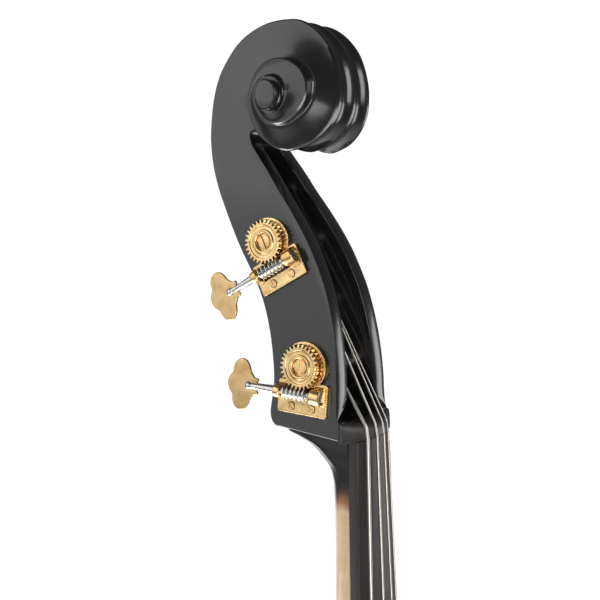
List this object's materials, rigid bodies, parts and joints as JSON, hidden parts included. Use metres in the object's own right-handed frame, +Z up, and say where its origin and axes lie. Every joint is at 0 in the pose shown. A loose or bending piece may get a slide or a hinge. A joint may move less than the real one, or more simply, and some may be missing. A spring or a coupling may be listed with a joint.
{
  "type": "double bass",
  "caption": "Upright double bass: carved scroll, pegbox with worm-geared tuners, long neck and fingerboard, arched hollow body, bridge, tailpiece and sliding endpin.",
  "frame": {"origin": "middle of the rubber foot's resting face, on the endpin's axis", "axes": "+Z up along the endpin, -Y the way the strings and the top plate face, -X the E string's side"},
  "size_m": [0.6702, 0.406, 1.944],
  "materials": {
    "black_lacquer": "satin black lacquer over maple and spruce",
    "ebony": "oiled",
    "spruce": "bare",
    "maple": "bare",
    "brass": "polished",
    "steel": "satin",
    "string_metal": "flat wound",
    "rubber": "matte",
    "collar_ebony": "turned and oiled"
  },
  "bodies": {
    "instrument": {"neck_and_scroll": "black_lacquer", "fingerboard": "ebony", "nut": "ebony", "top_plate": "black_lacquer", "back_plate": "black_lacquer", "lower_rib_bass_side": "black_lacquer", "lower_rib_treble_side": "black_lacquer", "middle_rib_bass_side": "black_lacquer", "middle_rib_treble_side": "black_lacquer", "upper_rib_bass_side": "black_lacquer", "upper_rib_treble_side": "black_lacquer", "neck_block": "spruce", "end_block": "spruce", "corner_blocks": "spruce", "linings": "spruce", "bass_bar": "spruce", "sound_post": "spruce", "bridge": "maple", "tailpiece": "ebony", "tail_wire": "steel", "saddle": "ebony", "endpin_collar": "collar_ebony", "plate_screws": "brass", "string_e": "string_metal", "string_g": "string_metal", "string_a": "string_metal", "string_d": "string_metal", "tuner_plate_e": "brass", "tuner_plate_g": "brass", "tuner_plate_a": "brass", "tuner_plate_d": "brass", "worm_bearings_e": "brass", "worm_bearings_g": "brass", "worm_bearings_a": "brass", "worm_bearings_d": "brass"},
    "key_shaft_e": {"worm_shaft_e": "steel", "key_e": "brass"},
    "wheel_and_post_e": {"worm_wheel_e": "brass", "string_post_e": "steel", "gear_screw_e": "brass"},
    "key_shaft_g": {"worm_shaft_g": "steel", "key_g": "brass"},
    "wheel_and_post_g": {"worm_wheel_g": "brass", "string_post_g": "steel", "gear_screw_g": "brass"},
    "key_shaft_a": {"worm_shaft_a": "steel", "key_a": "brass"},
    "wheel_and_post_a": {"worm_wheel_a": "brass", "string_post_a": "steel", "gear_screw_a": "brass"},
    "key_shaft_d": {"worm_shaft_d": "steel", "key_d": "brass"},
    "wheel_and_post_d": {"worm_wheel_d": "brass", "string_post_d": "steel", "gear_screw_d": "brass"},
    "endpin": {"endpin_rod": "steel", "endpin_foot": "rubber"},
    "endpin_clamp": {"endpin_screw": "steel"}
  },
  "joints": [
    {"name": "key_turn_e", "type": "hinge", "parent": "instrument", "child": "key_shaft_e", "pos_m": [-0.03669, -0.0433, 1.70576], "axis": [-0.0043, -0.9962, 0.0873], "continuous": true},
    {"name": "post_turn_e", "type": "hinge", "parent": "instrument", "child": "wheel_and_post_e", "pos_m": [-0.02974, -0.04181, 1.7231], "axis": [-0.9985, 0.0089, 0.0535], "continuous": true},
    {"name": "key_turn_g", "type": "hinge", "parent": "instrument", "child": "key_shaft_g", "pos_m": [0.03451, -0.02816, 1.74391], "axis": [-0.0075, -0.9538, 0.3005], "continuous": true},
    {"name": "post_turn_g", "type": "hinge", "parent": "instrument", "child": "wheel_and_post_g", "pos_m": [0.02757, -0.02288, 1.76049], "axis": [0.9985, 0.0089, 0.0535], "continuous": true},
    {"name": "key_turn_a", "type": "hinge", "parent": "instrument", "child": "key_shaft_a", "pos_m": [-0.03219, -0.01006, 1.78429], "axis": [0.0238, -0.8142, 0.5801], "continuous": true},
    {"name": "post_turn_a", "type": "hinge", "parent": "instrument", "child": "wheel_and_post_a", "pos_m": [-0.02533, 0.00019, 1.7984], "axis": [-0.9985, 0.0089, 0.0535], "continuous": true},
    {"name": "key_turn_d", "type": "hinge", "parent": "instrument", "child": "key_shaft_d", "pos_m": [0.03029, 0.01523, 1.81542], "axis": [-0.0168, -0.8871, 0.4613], "continuous": true},
    {"name": "post_turn_d", "type": "hinge", "parent": "instrument", "child": "wheel_and_post_d", "pos_m": [0.02339, 0.02336, 1.83082], "axis": [0.9985, 0.0089, 0.0535], "continuous": true},
    {"name": "endpin_slide", "type": "slide", "parent": "instrument", "child": "endpin", "axis": [0, 0, -1], "range_m": [-0.08, 0.2]},
    {"name": "clamp_turn", "type": "hinge", "parent": "instrument", "child": "endpin_clamp", "pos_m": [0, -0.0215, 0.123], "axis": [0, -1, 0], "range_deg": [0, 270]}
  ],
  "couplings": [
    {"joint": "post_turn_e", "follows": "key_turn_e", "ratio": -0.035714},
    {"joint": "post_turn_g", "follows": "key_turn_g", "ratio": -0.035714},
    {"joint": "post_turn_a", "follows": "key_turn_a", "ratio": -0.035714},
    {"joint": "post_turn_d", "follows": "key_turn_d", "ratio": -0.035714}
  ]
}
